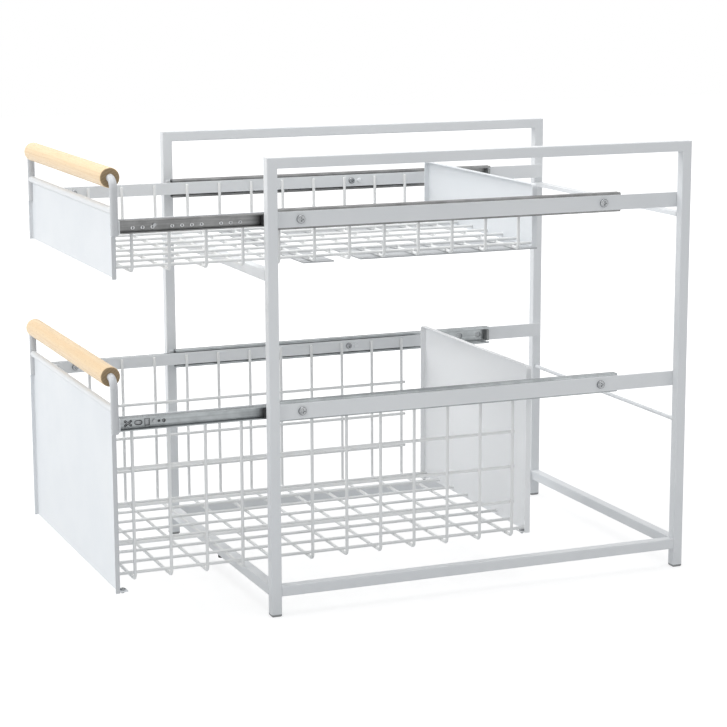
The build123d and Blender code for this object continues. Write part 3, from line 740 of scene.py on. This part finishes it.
# slide members: rolled sheet, the web a flat strip with real holes, races curved into the flanges;
# the upper drawer members have a row of small holes, the lower ones larger cut-outs near the front
slideShape = {
    "sheet": 1 * mm, "bend": 1.3 * mm, "bendSteps": 6, "race": 0.45 * mm, "raceSteps": 9,
    "step": 0.3 * mm, "edge": 0.12 * mm,
    "cabinet": {"lip": 1.9 * mm, "webHalf": 6.2 * mm, "holes": (10 * mm, 32 * mm), "size": 6 * mm},
    "drawer": {"webHalf": 3.9 * mm},
    "row": {
        "first": 14 * mm, "pitch": 9 * mm, "drop": 1.5 * mm, "size": 2.6 * mm,
        "steps": (0, 1, 2, 4, 5, 6, 7, 9, 10, 11),
    },
    "cross": {"at": 9.5 * mm, "length": 8 * mm, "width": 1.6 * mm, "turn": 35},
    "slot": {"at": 19 * mm, "length": 7 * mm, "width": 4 * mm},
    "window": {"at": 27 * mm, "length": 4.5 * mm, "width": 6 * mm},
    "smallHole": {"at": 38 * mm, "length": 1.8 * mm, "width": 1.8 * mm},
    "largeHole": {"at": 42.5 * mm, "length": 2.8 * mm, "width": 2.8 * mm},
    "upperRim": {"radius": 0.52 * mm, "plating": "holeLitZinc"},
    "lowerRim": {"radius": 0.36 * mm, "plating": "holeShadeDark"},
}


def slotOutline(y, z, length, width, steps=8):
    # two half circles joined by straight lines; a circle when length and width are equal
    turn = np.linspace(-math.pi / 2, math.pi / 2, steps)
    reach = (length - width) / 2
    front = np.stack([reach + width / 2 * np.cos(turn), width / 2 * np.sin(turn)], axis=-1)
    if reach == 0:
        front = front[:-1]
    return np.concatenate([front, -front]) + (y, z)


def windowOutline(y, z, length, width):
    return rectangle(length / 2, width / 2) + (y, z)


def crossOutline(y, z, length, width, turn):
    # two crossed bars as one outline of twelve corners, the bars at plus and minus the turn
    turn = math.radians(turn)
    half, thin = length / 2, width / 2
    side, top = thin / math.sin(turn), thin / math.cos(turn)
    along, across = np.array([math.cos(turn), math.sin(turn)]), np.array([-math.sin(turn), math.cos(turn)])
    arm = np.array([along * half - across * thin, along * half + across * thin])
    right, left = [(side, 0)], [(-side, 0)]
    upper = [right, arm, [(0, top)], arm[::-1] * (-1, 1)]
    lower = [left, -arm, [(0, -top)], arm[::-1] * (1, -1)]
    return np.concatenate(upper + lower) + (y, z)


def insideOutline(spots, outline):
    # even-odd rule: count the outline's edges that a ray towards +y crosses
    inside = np.zeros(len(spots), dtype=bool)
    for (y0, z0), (y1, z1) in zip(outline, np.roll(outline, -1, axis=0)):
        if z0 != z1:
            crosses = (spots[:, 1] < z0) != (spots[:, 1] < z1)
            inside ^= crosses & (spots[:, 0] < y0 + (spots[:, 1] - z0) / (z1 - z0) * (y1 - y0))
    return inside


def platePart(x, outer, holes):
    # a flat strip at one x, filled by a constrained triangulation, less the triangles inside its holes
    points, edges = [], []
    for loop in [outer] + holes:
        first = len(points)
        points += [Vector(point) for point in loop.tolist()]
        edges += [(first + i, first + (i + 1) % len(loop)) for i in range(len(loop))]
    fillInside, mergeBelow = 1, 1e-7
    flat, _, faces, _, _, _ = delaunay_2d_cdt(points, edges, [], fillInside, mergeBelow)
    flat, faces = np.array([tuple(point) for point in flat]), np.array(faces)
    middles = flat[faces].mean(axis=1)
    kept = ~np.any([insideOutline(middles, hole) for hole in holes], axis=0)
    return np.column_stack([np.full(len(flat), x), flat]), [faces[kept]]


def rimPart(x, outline, radius, around=8):
    # a thin closed ring along a hole's edge:
    # point = edge + radius * (cos a * edge normal + sin a * x direction)
    along = np.roll(outline, -1, axis=0) - np.roll(outline, 1, axis=0)
    normal = np.column_stack([along[:, 1], -along[:, 0]]) / np.linalg.norm(along, axis=1, keepdims=True)
    angle = fullTurn(around)
    flat = outline[:, None, :] + radius * np.cos(angle)[None, :, None] * normal[:, None, :]
    lift = np.broadcast_to(x + radius * np.sin(angle), flat.shape[:2])
    points = np.concatenate([lift[:, :, None], flat], axis=-1)
    return points.reshape(-1, 3), [gridFaces(len(outline), around, wrapRows=True, wrapColumns=True)]


def holeOutlines(kind, tier, rearY, frontY, middleZ):
    if kind == "cabinet":
        size = slideShape["cabinet"]["size"]
        return [slotOutline(rearY - along, middleZ, size, size) for along in slideShape["cabinet"]["holes"]]
    if tier == "upper":
        row = slideShape["row"]
        places = [frontY + row["first"] + row["pitch"] * step for step in row["steps"]]
        return [slotOutline(y, middleZ - row["drop"], row["size"], row["size"]) for y in places]
    outlines = []
    for name, outline in (
        ("cross", crossOutline), ("slot", slotOutline), ("window", windowOutline),
        ("smallHole", slotOutline), ("largeHole", slotOutline),
    ):
        sizes = dict(slideShape[name])
        outlines.append(outline(frontY + sizes.pop("at"), middleZ, **sizes))
    return outlines


def raceLine(fromX, toX, z):
    # a flange whose middle is pressed inwards by the square of half a sine wave, where the balls run
    share = np.linspace(0, 1, slideShape["raceSteps"])
    dip = slideShape["race"]
    return [(fromX + (toX - fromX) * t, 0, z - dip * math.sin(math.pi * t) ** 2) for t in share]


def buildSlide(kind, tier, side, sign):
    shape, isCabinet = slideShape, kind == "cabinet"
    body = "frame" if isCabinet else tiers[tier]["body"]
    node, label = f"{tier}_{side}_{kind}_member", f"{tier}{side.capitalize()}"
    low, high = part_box(node)
    thick, bend, webHalf = shape["sheet"], shape["bend"], shape[kind]["webHalf"]
    near, far = sorted((abs(low[0]), abs(high[0])))
    middleZ, halfZ = (low[2] + high[2]) / 2, (high[2] - low[2]) / 2 - thick / 2
    # the upper half of the profile: web, bend, flange with its race, and the cabinet member's lip
    webX, inward = (far - thick / 2, -1) if isCabinet else (near + thick / 2, 1)
    turn = np.linspace(0, math.pi / 2, shape["bendSteps"])[1:-1]
    outline = [(webX, 0, webHalf), (webX, 0, halfZ - bend)]
    corner = webX + inward * bend
    outline += [(corner - inward * bend * math.cos(a), 0, halfZ - bend + bend * math.sin(a)) for a in turn]
    if isCabinet:
        tipX = near + thick / 2
        endX = tipX + bend
        outline += raceLine(corner, endX, halfZ)
        outline += [(endX - bend * math.sin(a), 0, halfZ - bend + bend * math.cos(a)) for a in turn]
        outline += [(tipX, 0, halfZ - bend), (tipX, 0, halfZ - shape[kind]["lip"])]
    else:
        outline += raceLine(corner, far, halfZ)
    upper = np.array(outline)
    lower = (upper * (1, 1, -1))[::-1]
    parts = [sweepSheet(line + (0, 0, middleZ), low[1], high[1], axis=1) for line in (upper, lower)]
    plateX = webX + inward * shape["step"]
    outer = np.array([(low[1], -webHalf), (high[1], -webHalf), (high[1], webHalf), (low[1], webHalf)])
    outer += (0, middleZ)
    holes = holeOutlines(kind, tier, high[1], low[1], middleZ)
    parts = onSide(parts + [platePart(plateX, outer, holes)], sign)
    # painted shade: the upper slides take the darker copy of the zinc
    zinc = zincs["slideShadedZinc" if tier == "upper" else "slideZinc"]
    name = f"{label}{kind.capitalize()}Member"
    piece = makePiece(name, parts, zinc, body, [node], smooth=35.0)
    finishSheet(piece, thick, shape["edge"])
    if not isCabinet:
        # the small round holes get bright rings, painted light for the lit strap behind them, and the larger
        # cut-outs dark rings, painted shade in their edges
        rim = shape[f"{tier}Rim"]
        rims = [rimPart(plateX + thick / 2 - rim["radius"] / 2, hole, rim["radius"]) for hole in holes]
        plating = platings[rim["plating"]]
        makePiece(f"{label}HoleRims", onSide(rims, sign), plating, body, [node])


for tier in tiers:
    buildGrip(tier)
    buildHandle(tier)
    buildWires(tier)
    buildFrontPanel(tier)
    buildRearPanel(tier)
    for side, sign in sides:
        buildStrap(tier, side, sign)
        buildSlide("cabinet", tier, side, sign)
        buildSlide("drawer", tier, side, sign)
print("baskets and slides built")


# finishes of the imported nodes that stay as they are
finishOf = {
    "white_steel": coats["frameWhite"],
    "zinc_steel": zincs["slideZinc"],
    "chrome_steel": platings["screwChrome"],
    "beech_wood": wood,
    "black_plastic": plastics["blackPlastic"],
}
for entry in frame["record"]["subparts"]:
    node = bpy.data.objects.get(entry["node"])
    if node and node.type == "MESH":
        # the feet and the rear bumpers have a paler plastic than the stops, and the upper floor strips
        # a greyer copy of the white coat as painted shade, both chosen for the look of the photo
        if entry["node"] == "slide_rear_bumpers" or entry["node"].endswith("_foot"):
            finish = plastics["greyPlastic"]
        elif entry["node"] == "upper_floor_strips":
            finish = coats["stripShadedGrey"]
        else:
            finish = finishOf[entry["material_slot"]]
        for slot in node.material_slots:
            slot.material = finish
        if not node.material_slots:
            node.data.materials.append(finish)
print("packed nodes finished")


# floor, light and camera
stageLook = {
    "floorHalf": 6.0, "floorPlain": (0.72, 0.73, 0.74), "floorSeen": (0.42, 0.42, 0.42),
    "floorGlow": 0.72, "farGlow": 1.0, "fadeFrom": 0.45, "fadeTo": 1.3,
    "ambient": 0.46, "ambientTone": (0.97, 0.985, 1.0), "backdrop": (1.0, 1.0, 1.0),
}


def addBySight(tree, unseen, seen, out):
    # one shader for rays from the camera, from glossy surfaces and through clear ones, another for the rest
    path = tree.nodes.new("ShaderNodeLightPath")
    either = addMath(tree, "MAXIMUM", path.outputs["Is Camera Ray"], path.outputs["Is Glossy Ray"])
    chosen = tree.nodes.new("ShaderNodeMixShader")
    tree.links.new(addMath(tree, "MAXIMUM", either, path.outputs["Is Transmission Ray"]), chosen.inputs[0])
    tree.links.new(unseen, chosen.inputs[1])
    tree.links.new(seen, chosen.inputs[2])
    tree.links.new(chosen.outputs[0], out.inputs["Surface"])


def addColoured(tree, kind, colour):
    node = tree.nodes.new(kind)
    feed(tree, colour, node.inputs["Color"])
    return node


def buildFloor():
    half = stageLook["floorHalf"]
    mesh = bpy.data.meshes.new("floor")
    corners = [(-half, -half, 0), (half, -half, 0), (half, half, 0), (-half, half, 0)]
    mesh.from_pydata(corners, [], [(0, 1, 2, 3)])
    material = bpy.data.materials.new("floorWhite")
    material.use_nodes = True
    tree = material.node_tree
    tree.nodes.clear()
    out = tree.nodes.new("ShaderNodeOutputMaterial")
    plain = addColoured(tree, "ShaderNodeBsdfDiffuse", stageLook["floorPlain"])
    seen = addColoured(tree, "ShaderNodeBsdfDiffuse", stageLook["floorSeen"])
    glow = tree.nodes.new("ShaderNodeEmission")
    # the floor turns evenly white away from the object, so no horizon shows
    where, length = tree.nodes.new("ShaderNodeTexCoord"), tree.nodes.new("ShaderNodeVectorMath")
    length.operation = "LENGTH"
    tree.links.new(where.outputs["Object"], length.inputs[0])
    spread = [stageLook[key] for key in ("fadeFrom", "fadeTo", "floorGlow", "farGlow")]
    tree.links.new(addRange(tree, length.outputs["Value"], *spread), glow.inputs["Strength"])
    both = tree.nodes.new("ShaderNodeAddShader")
    tree.links.new(seen.outputs[0], both.inputs[0])
    tree.links.new(glow.outputs[0], both.inputs[1])
    addBySight(tree, plain.outputs[0], both.outputs[0], out)
    mesh.materials.append(material)
    floor = bpy.data.objects.new("floor", mesh)
    bpy.context.scene.collection.objects.link(floor)


def buildWorld():
    world = bpy.context.scene.world or bpy.data.worlds.new("studio")
    bpy.context.scene.world = world
    world.use_nodes = True
    tree = world.node_tree
    tree.nodes.clear()
    out = tree.nodes.new("ShaderNodeOutputWorld")
    soft = addColoured(tree, "ShaderNodeBackground", stageLook["ambientTone"])
    soft.inputs["Strength"].default_value = stageLook["ambient"]
    white = addColoured(tree, "ShaderNodeBackground", stageLook["backdrop"])
    addBySight(tree, soft.outputs[0], white.outputs[0], out)


lamps = {
    "keyLamp": {"from": (-1.1, -2.9, 2.1), "size": 2.2, "power": 52.0, "colour": (0.98, 0.99, 1.0)},
    "topLamp": {"from": (-0.3, 0.2, 3.0), "size": 2.4, "power": 26.0},
    "nearFill": {"from": (2.0, -2.6, 0.9), "size": 2.0, "power": 8.0},
    "rearFill": {"from": (2.4, 2.0, 1.0), "size": 1.6, "power": 6.0},
    "insideFill": {"from": (0.15, -0.25, 1.15), "size": 0.5, "power": 2.4, "aim": (-0.1, 0.13, 0.15)},
}
lampPlain = {"colour": (1.0, 1.0, 1.0), "aim": (0.0, 0.0, 0.22)}


def buildLamps():
    for name, own in lamps.items():
        look = {**lampPlain, **own}
        lamp = bpy.data.lights.new(name, "AREA")
        lamp.shape = "SQUARE"
        lamp.size = look["size"]
        lamp.energy = look["power"]
        lamp.color = look["colour"]
        holder = bpy.data.objects.new(name, lamp)
        holder.location = look["from"]
        holder.visible_camera = False
        holder.rotation_euler = (Vector(look["aim"]) - holder.location).to_track_quat("-Z", "Y").to_euler()
        bpy.context.scene.collection.objects.link(holder)


cameraPlace = {
    "at": (1.920459, -0.772020, 0.593845), "turn": 67.686, "down": 10.83, "roll": -0.205,
    "lens": 105.58, "sensor": 36,
}


def buildCamera():
    turn, down, roll = (math.radians(cameraPlace[key]) for key in ("turn", "down", "roll"))
    ahead = Vector((-math.sin(turn) * math.cos(down), math.cos(turn) * math.cos(down), -math.sin(down)))
    right = Vector((math.cos(turn), math.sin(turn), 0))
    up = right.cross(ahead)
    rolledRight = right * math.cos(roll) + up * math.sin(roll)
    rolledUp = up * math.cos(roll) - right * math.sin(roll)
    view = bpy.data.cameras.new("photoView")
    view.lens = cameraPlace["lens"]
    view.sensor_width = cameraPlace["sensor"]
    holder = bpy.data.objects.new("photoView", view)
    turned = Matrix((rolledRight, rolledUp, -ahead)).transposed().to_4x4()
    holder.matrix_world = Matrix.Translation(Vector(cameraPlace["at"])) @ turned
    bpy.context.scene.collection.objects.link(holder)
    bpy.context.scene.camera = holder


buildFloor()
buildWorld()
buildLamps()
buildCamera()
bpy.context.scene.view_settings.view_transform = "Standard"
print("stage, lamps and camera placed")
